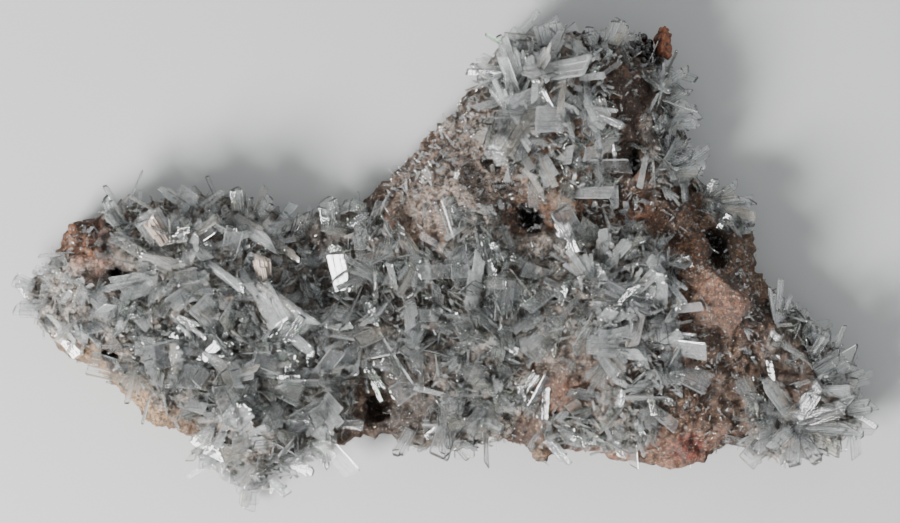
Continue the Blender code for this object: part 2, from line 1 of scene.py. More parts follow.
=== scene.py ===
"""Looks of the barite specimen: clear bladed crystals over a low plate of limonite rock.

Lengths are written in millimetres and turned into metres as each mesh is made. +X is the
photograph's right, +Y its top, and +Z points up at the camera.
"""

import math
import random

import bmesh
import bpy
from mathutils import Euler, Matrix, Vector, noise
from mathutils.bvhtree import BVHTree


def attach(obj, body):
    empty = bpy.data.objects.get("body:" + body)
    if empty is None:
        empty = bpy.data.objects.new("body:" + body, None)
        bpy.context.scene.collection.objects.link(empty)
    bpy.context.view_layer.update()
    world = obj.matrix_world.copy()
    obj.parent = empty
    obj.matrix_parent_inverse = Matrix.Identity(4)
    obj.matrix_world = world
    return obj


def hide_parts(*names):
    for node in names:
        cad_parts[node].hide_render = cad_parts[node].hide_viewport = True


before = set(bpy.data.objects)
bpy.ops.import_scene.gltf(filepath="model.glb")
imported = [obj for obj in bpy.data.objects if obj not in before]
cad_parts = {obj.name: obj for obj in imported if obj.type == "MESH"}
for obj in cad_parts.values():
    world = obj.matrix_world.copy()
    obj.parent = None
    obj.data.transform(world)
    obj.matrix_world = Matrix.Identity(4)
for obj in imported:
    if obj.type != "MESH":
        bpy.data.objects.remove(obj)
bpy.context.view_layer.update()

MM = 0.001

# The studio. A plain pale table top lies under the specimen, a large soft light stands at the
# lower left as a window would, and a weaker one fills the far side. The camera looks straight
# down from 0.8 m.
TABLE_COLOUR = (0.40, 0.40, 0.39, 1.0)
TABLE_SECOND_COLOUR = (0.38, 0.38, 0.37, 1.0)
SKY_COLOUR = (0.61, 0.64, 0.67, 1.0)
SKY_STRENGTH = 1.15
CAMERA_PLACE = (2.1, 1.4, 800.0)
CAMERA_LENS = 112.6


def surface(name, **plain):
    """A new material's tree and its shader, with the plain values on the shader's own sockets."""
    made = bpy.data.materials.new(name)
    made.use_nodes = True
    shader = made.node_tree.nodes["Principled BSDF"]
    for socket, value in plain.items():
        shader.inputs[socket.replace("_", " ")].default_value = value
    return made, shader


def node(tree, kind, inputs=(), **settings):
    """A node with its settings made and its inputs joined or filled in, by name or by number."""
    made = tree.nodes.new(kind)
    for setting, value in settings.items():
        setattr(made, setting, value)
    for socket, value in dict(inputs).items():
        if isinstance(value, bpy.types.NodeSocket):
            tree.links.new(value, made.inputs[socket])
        else:
            made.inputs[socket].default_value = value
    return made


def soft_light(name, place, size, power, colour):
    """A square area light that faces the middle of the specimen."""
    lamp = bpy.data.lights.new(name, "AREA")
    lamp.size = size
    lamp.energy = power
    lamp.color = colour
    made = bpy.data.objects.new(name, lamp)
    made.location = Vector(place) * MM
    made.rotation_euler = (-made.location).to_track_quat("-Z", "Y").to_euler()
    bpy.context.scene.collection.objects.link(made)


soft_light("window", (-620, -560, 620), 0.42, 43.0, (0.99, 0.99, 1.0))
soft_light("far_fill", (520, 640, 700), 0.50, 2.6, (0.94, 0.97, 1.0))

world = bpy.data.worlds.new("studio")
bpy.context.scene.world = world
world.use_nodes = True
world.node_tree.nodes["Background"].inputs["Color"].default_value = SKY_COLOUR
world.node_tree.nodes["Background"].inputs["Strength"].default_value = SKY_STRENGTH

table_finish, table_shader = surface("table_top", Roughness=0.8)
table_tree = table_finish.node_tree
table_fleck = node(table_tree, "ShaderNodeTexNoise", {"Scale": 40.0, "Detail": 2.0})
table_tone = node(
    table_tree,
    "ShaderNodeMix",
    {"Factor": table_fleck.outputs[0], 6: TABLE_COLOUR, 7: TABLE_SECOND_COLOUR},
    data_type="RGBA",
)
table_tree.links.new(table_tone.outputs[2], table_shader.inputs["Base Color"])
table_mesh = bpy.data.meshes.new("table")
table_shape = bmesh.new()
bmesh.ops.create_grid(table_shape, x_segments=1, y_segments=1, size=2.0)
table_shape.to_mesh(table_mesh)
table_shape.free()
table_mesh.materials.append(table_finish)
table = bpy.data.objects.new("table", table_mesh)
bpy.context.scene.collection.objects.link(table)

camera_data = bpy.data.cameras.new("camera")
camera_data.lens = CAMERA_LENS
camera_data.sensor_width = 36.0
camera_data.clip_start = 0.01
camera = bpy.data.objects.new("camera", camera_data)
camera.location = Vector(CAMERA_PLACE) * MM
bpy.context.scene.collection.objects.link(camera)
bpy.context.scene.camera = camera


# The rock: one plate of limonite, a porous brown iron ore, with a crumbly grain. Its form is
# the solid's, refined to a mesh of 0.8 mm, broken up by lumps, grains and small open cells.
# Under the crystals it carries a grey crust, which the attribute "crust" marks.
ROCK_MESH = 0.78
ROCK_LUMP = (5.0, 1.5)  # size, rise
ROCK_GRAIN = (2.0, 0.9)
ROCK_CELL = (3.0, 1.1)
CELL_WALL = 0.55  # how far in from the border of two cells the groove between them reaches
CELL_DEPTH = 1.2
CRUST_RISE = 1.0
SLAB_PLACE = (77.0, -9.7)  # the angular block keeps its flat faces
SLAB_REACH = 9.5
SLAB_EDGE = (0.75, 0.25)  # where its flat faces end and the width of the change, in reaches
SLAB_ROUGHNESS = 0.22  # share of the lumps and grains that it has
CRUST_REACH = 1.9  # the rock is under crystals where their solid is this near
CRUST_NODES = ("main_druse", "upper_arm_druse", "right_flank_fan", "right_tip_cluster")

DARK_UMBER = (0.030, 0.019, 0.013, 1.0)
BROWN = (0.120, 0.070, 0.043, 1.0)
OCHRE_BROWN = (0.270, 0.165, 0.100, 1.0)
PALE_TAN = (0.480, 0.360, 0.260, 1.0)
RUST = (0.290, 0.110, 0.050, 1.0)
DARK_RUST = (0.170, 0.058, 0.028, 1.0)
CRUST_DARK = (0.070, 0.060, 0.052, 1.0)
CRUST_GREY = (0.340, 0.310, 0.275, 1.0)
CRUST_PALE = (0.680, 0.650, 0.600, 1.0)
BLACK = (0.006, 0.005, 0.005, 1.0)
RED = (0.260, 0.050, 0.030, 1.0)
CLAY = (0.270, 0.120, 0.070, 1.0)
CREAM = (0.600, 0.405, 0.230, 1.0)
ORANGE = (0.380, 0.190, 0.100, 1.0)
PINK_TAN = (0.360, 0.185, 0.120, 1.0)
CHOCOLATE = (0.085, 0.045, 0.028, 1.0)
GREY_BROWN = (0.420, 0.350, 0.300, 1.0)

# Spots of colour on the bare rock: x, y, radius, colour, strength. Most are the rock's own colour,
# but a few are painted shade: the near-black spots in two hollows, a chocolate one in a small pit,
# and a dark umber spot that paints a shadow below the ochre patch.
ROCK_SPOTS = (
    (9, 30, 30, GREY_BROWN, 0.8),
    (-6, 35, 7, ORANGE, 0.5),
    (16, 59, 6, ORANGE, 0.6),
    (-100, 8, 11, RUST, 0.85),
    (-97, 13, 6, CHOCOLATE, 0.55),
    (-106, 3, 7, ORANGE, 0.75),
    (-98, 2, 5, ORANGE, 0.6),
    (-99, -27, 7, CREAM, 0.6),
    (-89, -37, 11, CREAM, 0.75),
    (-78, -45, 9, CREAM, 0.6),
    (-70, -47, 8, OCHRE_BROWN, 0.8),
    (-12, -41, 15, DARK_UMBER, 0.7),
    (33, -30, 9, CLAY, 0.85),
    (33, -37, 6, RUST, 0.5),
    (20, -46, 8, CHOCOLATE, 0.8),
    (27.5, -52, 4, PALE_TAN, 0.5),
    (48, -52, 12, PINK_TAN, 0.8),
    (70, -55, 14, PINK_TAN, 0.7),
    (58, -47, 5, RED, 0.35),
    (69, -51, 5, RED, 0.8),
    (80, -33, 15, BROWN, 0.65),
    (77, -11, 10, PINK_TAN, 0.8),
    (68, -22, 15, BROWN, 0.8),
    (62, -14, 6, RUST, 0.5),
    (86, -13, 5, DARK_UMBER, 0.8),
    (92, -24, 7, BROWN, 0.7),
    (70, 3, 8, ORANGE, 0.65),
    (84, 2, 8, OCHRE_BROWN, 0.8),
    # painted shadow: a dark spot below the ochre patch
    (80, -4, 3.5, DARK_UMBER, 0.7),
    (52, 42, 14, CHOCOLATE, 0.9),
    (57, 30, 6, PALE_TAN, 0.5),
    (34, 31, 8, RUST, 0.6),
    (25, 13, 9, ORANGE, 0.7),
    (54, 13, 7, RUST, 0.6),
    (-62, -63, 5, RUST, 0.6),
    # painted shade: near-black in the hollow beside the upper arm
    (24.5, 13, 5.4, BLACK, 0.97),
    (53, 28.5, 4.2, BLACK, 0.9),
    # painted shade: near-black in the hollow at the left
    (-91, -3, 3.8, BLACK, 0.9),
    (76, 5, 5.5, DARK_UMBER, 0.9),
    # painted shade in a small pit
    (-93, -24, 3.4, CHOCOLATE, 0.9),
)
# The same for the grey crust under the crystals. Most are stains, but a few are painted shade:
# near-black and chocolate spots in the hollows, a dark stain over the low notch left of the upper
# arm, and a dark umber stain on the upper arm's right side.
CRUST_STAINS_AND_SHADE = (
    # painted shade: the low notch left of the upper arm, darkened
    (-28, 2, 17, CRUST_DARK, 0.85),
    (-12, -41, 15, DARK_UMBER, 0.75),
    (-2, -24, 14, CRUST_DARK, 0.85),
    (2, -8, 17, CRUST_DARK, 0.9),
    (-14, -18, 15, CRUST_DARK, 0.85),
    (-99, 6, 12, RUST, 0.8),
    (-105, 3, 6, ORANGE, 0.6),
    (-110, -10, 15, CRUST_PALE, 0.85),
    (-99, -27, 7, CREAM, 0.6),
    # painted shade in the hollow at the left
    (-90.5, -3, 4.8, BLACK, 0.95),
    # painted shade in a small pit
    (-93, -24, 3.8, CHOCOLATE, 0.9),
    # painted shade in the hollow beside the upper arm
    (24.5, 13, 5.2, BLACK, 0.95),
    (-92, 8, 5, DARK_UMBER, 0.8),
    (-90, -37, 9, CREAM, 0.7),
    (-76, -47, 9, CREAM, 0.6),
    (30, 24, 16, OCHRE_BROWN, 0.7),
    (30, 46, 18, OCHRE_BROWN, 0.45),
    (34, 34, 9, ORANGE, 0.55),
    (48, 50, 13, CHOCOLATE, 0.85),
    (36, -34, 14, BROWN, 0.8),
    (33, -36, 7, RUST, 0.5),
    (62, -30, 14, BROWN, 0.85),
    (96, -33, 15, BROWN, 0.9),
    (108, -44, 13, BROWN, 0.7),
    # painted shade on the upper arm's right side, which faces away from the window light
    (66, 36, 12, DARK_UMBER, 0.8),
    (-62, -22, 9, BROWN, 0.5),
    (-86, 14, 9, OCHRE_BROWN, 0.4),
)


def merged_copy(cad_node):
    """The node's mesh as a new shape whose loose triangles are joined."""
    shape = bmesh.new()
    shape.from_mesh(cad_node.data)
    bmesh.ops.remove_doubles(shape, verts=shape.verts, dist=0.00001)
    return shape


def piece_from(shape, name):
    mesh = bpy.data.meshes.new(name)
    shape.to_mesh(mesh)
    shape.free()
    made = bpy.data.objects.new(name, mesh)
    bpy.context.scene.collection.objects.link(made)
    return made


def settle(item):
    """Turns an object's modifiers into its own mesh."""
    graph = bpy.context.evaluated_depsgraph_get()
    mesh = bpy.data.meshes.new_from_object(item.evaluated_get(graph))
    item.modifiers.clear()
    item.data = mesh


def refine(item, cell):
    """Gives the solid an even mesh, fine enough for its grain."""
    even = item.modifiers.new("Even mesh", "REMESH")
    even.mode = "VOXEL"
    even.voxel_size = cell * MM
    settle(item)


def crumble(item, lump, grain, cell, raised=None):
    """Moves the surface in and out by lumps, grains and open cells."""
    normals = [vert.normal.copy() for vert in item.data.vertices]
    for vert, normal in zip(item.data.vertices, normals):
        place = vert.co / MM
        rise = lump[1] * noise.fractal(place / lump[0], 0.8, 2.1, 3)
        rise += grain[1] * noise.noise(place / grain[0])
        near, next_near = noise.voronoi(place / cell[0])[0][:2]
        rise -= cell[1] * max(0.0, CELL_WALL - (next_near - near)) * CELL_DEPTH
        if raised is not None:
            away = math.hypot(place.x - SLAB_PLACE[0], place.y - SLAB_PLACE[1]) / SLAB_REACH
            rise *= max(SLAB_ROUGHNESS, min(1.0, (away - SLAB_EDGE[0]) / SLAB_EDGE[1]))
            rise += raised[vert.index]
        vert.co += normal * rise * MM
        vert.co.z = max(vert.co.z, 0.0)
    item.data.update()


SPOT_RAGGEDNESS = ((5.0, 0.36), (2.0, 0.20))  # size of the notches in a spot's edge, depth
SPOT_EDGE = (1.1, 0.55)  # where a spot ends and the width of its soft edge, in radii


def stained_or_shaded_by(spots, place):
    """The colour of the soft, ragged spots that lie over a place, and how far they cover it."""
    ragged = sum(depth * noise.noise(place / size) for size, depth in SPOT_RAGGEDNESS)
    colour, cover = Vector((0.0, 0.0, 0.0)), 0.0
    for x, y, radius, spot_colour, strength in spots:
        away = math.hypot(place.x - x, place.y - y) / radius + ragged
        mask = strength * max(0.0, min(1.0, (SPOT_EDGE[0] - away) / SPOT_EDGE[1]))
        colour = colour.lerp(Vector(spot_colour[:3]), mask)
        cover += mask * (1.0 - cover)
    return (*(colour / max(cover, 0.001)), cover)


rock = piece_from(merged_copy(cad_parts["matrix"]), "limonite_rock")
refine(rock, ROCK_MESH)
crust_trees = {
    name: BVHTree.FromBMesh(merged_copy(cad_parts[name])) for name in CRUST_NODES
}
crust_of = []
for vert in rock.data.vertices:
    gaps = {}
    for name, tree in crust_trees.items():
        found = tree.find_nearest(vert.co, CRUST_REACH * MM)
        if found[0] is not None:
            gaps[name] = found[3]
    crust_of.append(min(gaps, key=gaps.get) if gaps else "")
crust_rise = [CRUST_RISE if name else 0.0 for name in crust_of]
crumble(rock, ROCK_LUMP, ROCK_GRAIN, ROCK_CELL, crust_rise)
# Each place takes the colour of the spots over it: the rock's own stains, and painted shade where a
# spot stands for a hollow or a shaded side.
stains_and_painted_shade = []
for vert, crust_name in zip(rock.data.vertices, crust_of):
    spots = CRUST_STAINS_AND_SHADE if crust_name else ROCK_SPOTS
    stains_and_painted_shade.extend(stained_or_shaded_by(spots, vert.co / MM))
stain_and_shade_mark = rock.data.attributes.new("stain_and_painted_shade", "FLOAT_COLOR", "POINT")
stain_and_shade_mark.data.foreach_set("color", stains_and_painted_shade)
crust_mark = rock.data.attributes.new("crust", "FLOAT", "POINT")
crust_mark.data.foreach_set("value", [1.0 if name else 0.0 for name in crust_of])
rock.data.shade_smooth()


def place_in_mm(tree):
    where = node(tree, "ShaderNodeTexCoord")
    return node(
        tree,
        "ShaderNodeVectorMath",
        {0: where.outputs["Object"], "Scale": 1 / MM},
        operation="SCALE",
    ).outputs[0]


def cloud(tree, place, size, detail=4.0, roughness=0.6):
    """Cloudy values over features of that size in millimetres."""
    return node(
        tree,
        "ShaderNodeTexNoise",
        {"Vector": place, "Scale": 1 / size, "Detail": detail, "Roughness": roughness},
    ).outputs[0]


def ramp(tree, factor, stops):
    made = node(tree, "ShaderNodeValToRGB", {"Fac": factor})
    elements = made.color_ramp.elements
    while len(elements) < len(stops):
        elements.new(0.5)
    for element, (place, colour) in zip(elements, stops):
        element.position = place
        element.color = colour
    return made.outputs["Color"]


def spread(tree, value, low, high, to_low=0.0, to_high=1.0):
    """Stretches a range of values to another, held at its ends."""
    return node(
        tree, "ShaderNodeMapRange", {0: value, 1: low, 2: high, 3: to_low, 4: to_high}
    ).outputs[0]


def times(tree, value, other):
    return node(tree, "ShaderNodeMath", {0: value, 1: other}, operation="MULTIPLY").outputs[0]


def blend(tree, factor, first, second, mode="MIX"):
    return node(
        tree,
        "ShaderNodeMix",
        {"Factor": factor, 6: first, 7: second},
        data_type="RGBA",
        blend_type=mode,
    ).outputs[2]


def bumped(tree, shader, height, depth, strength=1.0):
    made = node(
        tree, "ShaderNodeBump", {"Height": height, "Distance": depth * MM, "Strength": strength}
    )
    tree.links.new(made.outputs[0], shader.inputs["Normal"])


GRAINS = ((0.9, 0.36), (2.2, 0.30))  # grains on a millimetre, how dark the darkest ones are
PALE_GRAIN = (0.75, 0.71, 0.68, 1.0)
limonite, rock_shader = surface("limonite", Roughness=0.85)
tree = limonite.node_tree
place = place_in_mm(tree)
patches = cloud(tree, place, 11.0, 6.0, 0.68)
colour = ramp(
    tree, patches, ((0.34, DARK_UMBER), (0.45, BROWN), (0.55, OCHRE_BROWN), (0.68, PALE_TAN))
)
rust_mask = spread(tree, cloud(tree, place, 7.0, 5.0, 0.7), 0.56, 0.66, 0.0, 0.6)
colour = blend(tree, rust_mask, colour, RUST)
crust_tones = ((0.36, CRUST_DARK), (0.48, CRUST_GREY), (0.62, CRUST_PALE))
crust_colour = ramp(tree, cloud(tree, place, 3.5, 5.0, 0.65), crust_tones)
crust = node(tree, "ShaderNodeAttribute", attribute_name="crust").outputs["Fac"]
crust_edge = node(tree, "ShaderNodeMath", {0: crust, 1: patches}, operation="ADD").outputs[0]
crust_edge = spread(tree, crust_edge, 1.15, 1.45, 0.0, 0.9)
colour = blend(tree, crust_edge, colour, crust_colour)
# The spots are laid over the rock's colour, both its stains and the painted shade among them.
stain_and_painted_shade = node(tree, "ShaderNodeAttribute", attribute_name="stain_and_painted_shade").outputs
colour = blend(tree, stain_and_painted_shade["Alpha"], colour, stain_and_painted_shade["Color"])
for grains_per_mm, dark in GRAINS:
    grain = node(tree, "ShaderNodeTexVoronoi", {"Vector": place, "Scale": grains_per_mm})
    grain_tone = node(tree, "ShaderNodeSeparateColor", {0: grain.outputs["Color"]}).outputs[0]
    shade = ramp(tree, grain_tone, ((0.0, (dark, dark, dark, 1.0)), (0.8, PALE_GRAIN)))
    colour = blend(tree, 1.0, colour, shade, "MULTIPLY")
pale_fleck = spread(tree, cloud(tree, place, 0.7, 2.0), 0.62, 0.70, 0.0, 0.6)
colour = blend(tree, pale_fleck, colour, PALE_TAN)
dark_pore = spread(tree, cloud(tree, place, 1.6, 3.0), 0.39, 0.47, 0.85, 0.0)
colour = blend(tree, dark_pore, colour, DARK_UMBER)
tree.links.new(colour, rock_shader.inputs["Base Color"])
tree.links.new(
    spread(tree, cloud(tree, place, 1.5), 0.3, 0.7, 0.6, 0.95), rock_shader.inputs["Roughness"]
)
bumped(tree, rock_shader, cloud(tree, place, 0.8, 5.0, 0.7), 0.35)
rock.data.materials.append(limonite)
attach(rock, "root")
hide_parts("matrix")


# The crystals: barite, clear to milky, in flat blades with bevelled long edges and chisel
# ends, often several side by side in parallel growth. Some are frosted, and some stained tan.
# Their shapes are unit blades, 1 long, that the crusts below scale to size.
BARITE_IOR = 1.64
CLEAR_TINTS = (
    (0.00, (0.93, 0.94, 0.92, 1.0)),
    (0.40, (0.98, 0.99, 0.97, 1.0)),
    (0.85, (1.00, 1.00, 1.00, 1.0)),
    (0.93, (0.97, 0.92, 0.84, 1.0)),
    (1.00, (0.94, 0.94, 0.89, 1.0)),
)
MILKY_TINTS = (
    (0.00, (0.93, 0.95, 0.93, 1.0)),
    (0.40, (0.98, 1.00, 0.98, 1.0)),
    (0.85, (1.00, 1.00, 1.00, 1.0)),
    (0.92, (0.95, 0.88, 0.79, 1.0)),
    (1.00, (0.92, 0.91, 0.86, 1.0)),
)
ROOT_RING = (-0.12, 0.85, 0.8)  # height, width and thickness of a crystal's buried end
TIP_THICKNESS = 0.35
SECTION = ((0.5, 0.0), (0.42, 0.5), (-0.42, 0.5), (-0.5, 0.0), (-0.42, -0.5), (0.42, -0.5))
LEAN_SECTION = ((0.5, 0.1), (-0.4, 0.5), (-0.5, -0.1), (0.4, -0.5))
RIDGED_SECTION = (
    (0.5, 0.0),
    (0.43, 0.40),
    (0.16, 0.50),
    (0.11, 0.33),
    (-0.20, 0.42),
    (-0.24, 0.28),
    (-0.43, 0.30),
    (-0.5, 0.0),
    (-0.42, -0.45),
    (0.42, -0.45),
)


def tabular_crystal(shape, place, size, tip, narrow, skew, tone, section=SECTION):
    """One flat crystal along +Z with a chisel end, of that width, thickness and length."""
    width, thickness, length = size
    tones = shape.verts.layers.float.get("tone") or shape.verts.layers.float.new("tone")
    across = shape.verts.layers.float.get("across") or shape.verts.layers.float.new("across")
    painted_highlight_rims = shape.faces.layers.float.get("rim") or shape.faces.layers.float.new("rim")
    rings = []
    for height, wide, thick in (ROOT_RING, (1 - tip, 1.0, 1.0), (1.0, narrow, TIP_THICKNESS)):
        ring = []
        for x, y in section:
            lean = skew * x * length * wide if height > 0 else 0.0
            corner = (x * wide * width, y * thick * thickness, height * length + lean * width)
            vert = shape.verts.new(place @ Vector(corner))
            vert[tones] = tone
            vert[across] = x * wide
            ring.append(vert)
        rings.append(ring)
    count = len(section)
    for low, high in zip(rings, rings[1:]):
        for i in range(count):
            j = (i + 1) % count
            face = shape.faces.new((low[i], low[j], high[j], high[i]))
            # Faces of the bevelled long edges and the chisel end are marked as rims. In the
            # scattered crusts they take the milky finish, a painted highlight that makes the edges
            # show as pale lines.
            face[painted_highlight_rims] = 1.0 if abs(section[i][0]) == 0.5 or abs(section[j][0]) == 0.5 else 0.0
    shape.faces.new(rings[-1])[painted_highlight_rims] = 1.0
    shape.faces.new(rings[0][::-1])


def shape_set(name, makers):
    """A hidden collection of crystal shapes for the scatter to pick from."""
    made = bpy.data.collections.new(name)
    for number, maker in enumerate(makers):
        shape = bmesh.new()
        maker(shape)
        mesh = bpy.data.meshes.new(f"{name}_{number}")
        shape.to_mesh(mesh)
        shape.free()
        made.objects.link(bpy.data.objects.new(f"{name}_{number}", mesh))
    return made


def single(width, thickness, tip, narrow, skew, section=SECTION):
    def maker(shape):
        tabular_crystal(
            shape, Matrix(), (width, thickness, 1.0), tip, narrow, skew, 0.0, section
        )

    return maker


def bundle(seed, count, width, thickness, fan, section=SECTION):
    """Several crystals from one root: side by side where fan is small, rayed where it is large."""

    def maker(shape):
        rng = random.Random(seed)
        for number in range(count):
            share = (number + 0.5) / count - 0.5
            turn = Euler((rng.uniform(-0.3, 0.3) * fan, share * fan * 2, rng.uniform(-0.2, 0.2)))
            shift = Vector((share * width * 1.3, rng.uniform(-0.6, 0.6) * thickness, 0.0))
            size = (
                width * rng.uniform(0.6, 1.2),
                thickness * rng.uniform(0.7, 1.3),
                rng.uniform(0.6, 1.0),
            )
            tabular_crystal(
                shape,
                Matrix.Translation(shift) @ turn.to_matrix().to_4x4(),
                size,
                rng.uniform(0.04, 0.12),
                rng.uniform(0.6, 0.95),
                rng.uniform(-0.3, 0.3),
                rng.random(),
                section,
            )

    return maker


blades = shape_set(
    "blade",
    (
        single(0.24, 0.070, 0.07, 0.70, 0.2),
        single(0.34, 0.075, 0.10, 0.66, -0.3),
        single(0.15, 0.065, 0.10, 0.45, 0.0),
        bundle(3, 3, 0.22, 0.07, 0.04),
        bundle(4, 4, 0.16, 0.06, 0.20),
        bundle(5, 6, 0.13, 0.05, 0.45),
    ),
)
long_blades = shape_set(
    "long_blade",
    (
        single(0.26, 0.050, 0.04, 0.88, 0.20, RIDGED_SECTION),
        single(0.36, 0.055, 0.05, 0.84, -0.30, RIDGED_SECTION),
        single(0.18, 0.050, 0.05, 0.70, 0.1, RIDGED_SECTION),
        single(0.52, 0.055, 0.06, 0.88, 0.10, RIDGED_SECTION),
        bundle(13, 4, 0.20, 0.050, 0.03, RIDGED_SECTION),
        bundle(14, 4, 0.15, 0.045, 0.16, RIDGED_SECTION),
        bundle(15, 6, 0.12, 0.040, 0.36, RIDGED_SECTION),
        bundle(16, 3, 0.26, 0.050, 0.07, RIDGED_SECTION),
    ),
)
small_blades = shape_set(
    "small_blade",
    (
        single(0.34, 0.12, 0.12, 0.6, 0.2, LEAN_SECTION),
        single(0.50, 0.14, 0.15, 0.6, -0.2, LEAN_SECTION),
        single(0.24, 0.12, 0.18, 0.4, 0.0, LEAN_SECTION),
        bundle(8, 2, 0.3, 0.12, 0.3, LEAN_SECTION),
    ),
)


DENSEST_GROWTH = 3.0e6  # roots on a square metre before the spacing thins them


def scatter_tree():
    """The growth: points on a ground, a crystal on each, leaning off the ground's normal."""
    made = bpy.data.node_groups.new("Crystal growth", "GeometryNodeTree")
    sockets = (
        ("Ground", "NodeSocketGeometry"),
        ("Shapes", "NodeSocketCollection"),
        ("Spacing", "NodeSocketFloat"),
        ("Smallest", "NodeSocketFloat"),
        ("Largest", "NodeSocketFloat"),
        ("Least lean", "NodeSocketFloat"),
        ("Greatest lean", "NodeSocketFloat"),
        ("Greatest roll", "NodeSocketFloat"),
        ("Seed", "NodeSocketInt"),
        ("Clear finish", "NodeSocketMaterial"),
        ("Milky finish", "NodeSocketMaterial"),
    )
    for name, kind in sockets:
        made.interface.new_socket(name=name, in_out="INPUT", socket_type=kind)
    made.interface.new_socket(name="Crystals", in_out="OUTPUT", socket_type="NodeSocketGeometry")
    given = node(made, "NodeGroupInput").outputs

    def ground_value(name):
        return node(
            made, "GeometryNodeInputNamedAttribute", {"Name": name}, data_type="FLOAT"
        ).outputs[0]

    points = node(
        made,
        "GeometryNodeDistributePointsOnFaces",
        {
            "Mesh": given["Ground"],
            "Distance Min": given["Spacing"],
            "Density Max": DENSEST_GROWTH,
            "Density Factor": ground_value("growth"),
            "Seed": given["Seed"],
        },
        distribute_method="POISSON",
    )

    def chance(low, high, step, kind="FLOAT"):
        seed = node(made, "FunctionNodeIntegerMath", {0: given["Seed"], 1: step}, operation="ADD")
        picked = node(made, "FunctionNodeRandomValue", data_type=kind)
        low_socket, high_socket = {"FLOAT": (2, 3), "FLOAT_VECTOR": (0, 1)}[kind]
        for number, value in ((low_socket, low), (high_socket, high)):
            if isinstance(value, bpy.types.NodeSocket):
                made.links.new(value, picked.inputs[number])
            else:
                picked.inputs[number].default_value = value
        made.links.new(seed.outputs[0], picked.inputs["Seed"])
        return picked.outputs[{"FLOAT": 1, "FLOAT_VECTOR": 0}[kind]]

    def turned(rotation, axis, angle):
        step = node(made, "FunctionNodeAxisAngleToRotation", {"Axis": axis, "Angle": angle})
        return node(
            made,
            "FunctionNodeRotateRotation",
            {"Rotation": rotation, "Rotate By": step.outputs[0]},
            rotation_space="LOCAL",
        ).outputs[0]

    less_roll = node(
        made, "ShaderNodeMath", {0: given["Greatest roll"], 1: -1.0}, operation="MULTIPLY"
    ).outputs[0]
    aim = turned(points.outputs["Rotation"], (0, 0, 1), chance(0.0, math.tau, 1))
    aim = turned(aim, (1, 0, 0), chance(given["Least lean"], given["Greatest lean"], 2))
    aim = turned(aim, (0, 0, 1), chance(less_roll, given["Greatest roll"], 3))
    proportion = chance((0.75, 0.75, 0.9), (1.35, 1.4, 1.1), 4, "FLOAT_VECTOR")
    length = node(
        made,
        "ShaderNodeMath",
        {0: chance(given["Smallest"], given["Largest"], 5), 1: ground_value("size")},
        operation="MULTIPLY",
    ).outputs[0]
    scale = node(
        made, "ShaderNodeVectorMath", {0: proportion, "Scale": length}, operation="SCALE"
    ).outputs[0]
    shapes = node(
        made,
        "GeometryNodeCollectionInfo",
        {"Collection": given["Shapes"], "Separate Children": True, "Reset Children": True},
    )
    grown = node(
        made,
        "GeometryNodeInstanceOnPoints",
        {
            "Points": points.outputs["Points"],
            "Instance": shapes.outputs[0],
            "Pick Instance": True,
            "Rotation": aim,
            "Scale": scale,
        },
    )
    toned = node(
        made,
        "GeometryNodeStoreNamedAttribute",
        {"Geometry": grown.outputs[0], "Name": "own_tone", "Value": chance(0.0, 1.0, 6)},
        data_type="FLOAT",
        domain="INSTANCE",
    )
    real = node(made, "GeometryNodeRealizeInstances", {"Geometry": toned.outputs[0]})
    finished = node(
        made,
        "GeometryNodeSetMaterial",
        {"Geometry": real.outputs[0], "Material": given["Clear finish"]},
    )
    is_milky = node(
        made,
        "ShaderNodeMath",
        {0: ground_value("own_tone"), 1: ground_value("milk")},
        operation="LESS_THAN",
    ).outputs[0]
    # Rims take the milky finish as well: a painted highlight along the crystals' edges.
    milky_or_painted_highlight = node(
        made, "ShaderNodeMath", {0: is_milky, 1: ground_value("rim")}, operation="MAXIMUM"
    )
    finished = node(
        made,
        "GeometryNodeSetMaterial",
        {
            "Geometry": finished.outputs[0],
            "Selection": milky_or_painted_highlight.outputs[0],
            "Material": given["Milky finish"],
        },
    )
    node(made, "NodeGroupOutput", {0: finished.outputs[0]})
    return made


growth_tree = scatter_tree()


def grow(name, ground, **values):
    """Grows one layer of crystals on a ground and returns it as a plain mesh piece."""
    made = bpy.data.objects.new(name, ground)
    bpy.context.scene.collection.objects.link(made)
    step = made.modifiers.new("Growth", "NODES")
    step.node_group = growth_tree
    for item in growth_tree.interface.items_tree:
        key = item.name.replace(" ", "_").lower()
        if item.in_out == "INPUT" and key in values:
            step[item.identifier] = values[key]
    settle(made)
    return made


BARITE_GREEN = (0.89, 0.92, 0.89, 1.0)
MILK_GREEN = (0.90, 0.93, 0.90, 1.0)
TONE_STEP = 5.3  # so that a crystal's tint doesn't follow from its being milky
FROST_STEP = 7.31
LINE_SHIFT = 40.0  # no two crystals have their growth lines in the same places
LINES_ACROSS = 9.0
LINE_DEPTH = 0.06
VEIL_SIZE = 1.4


